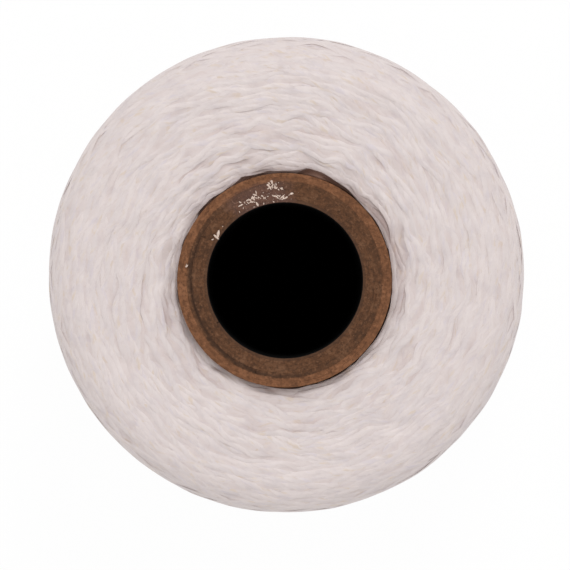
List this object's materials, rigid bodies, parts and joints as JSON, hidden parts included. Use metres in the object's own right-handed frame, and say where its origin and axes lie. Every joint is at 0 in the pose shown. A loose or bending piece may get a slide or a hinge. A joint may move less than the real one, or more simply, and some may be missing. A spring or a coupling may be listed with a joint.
{
  "type": "waxed thread spool",
  "caption": "Cross-wound package of white waxed sewing thread on a plain spiral-wound paper tube with a through bore for a spindle.",
  "frame": {"origin": "centre of the paper tube's lower end face, on the surface the spool stands on", "axes": "+Z up along the tube's bore, towards the end that the picture shows; +X right and +Y up in the picture"},
  "size_m": [0.058, 0.058, 0.06],
  "materials": {
    "liner_paper": "dark brown smooth paper, matte",
    "body_paper": "dark brown grey board, matte, cut ends slightly fuzzy",
    "wrap_paper": "brown kraft paper, matte",
    "waxed_thread": "off-white twisted thread with a soft wax coat"
  },
  "bodies": {
    "root": {"liner_ply": "liner_paper", "body_ply_1": "body_paper", "body_ply_2": "body_paper", "body_ply_3": "body_paper", "body_ply_4": "body_paper", "wrap_ply_inner": "wrap_paper", "wrap_ply_outer": "wrap_paper", "thread_body": "waxed_thread", "thread_outer_strand": "waxed_thread"}
  },
  "joints": []
}
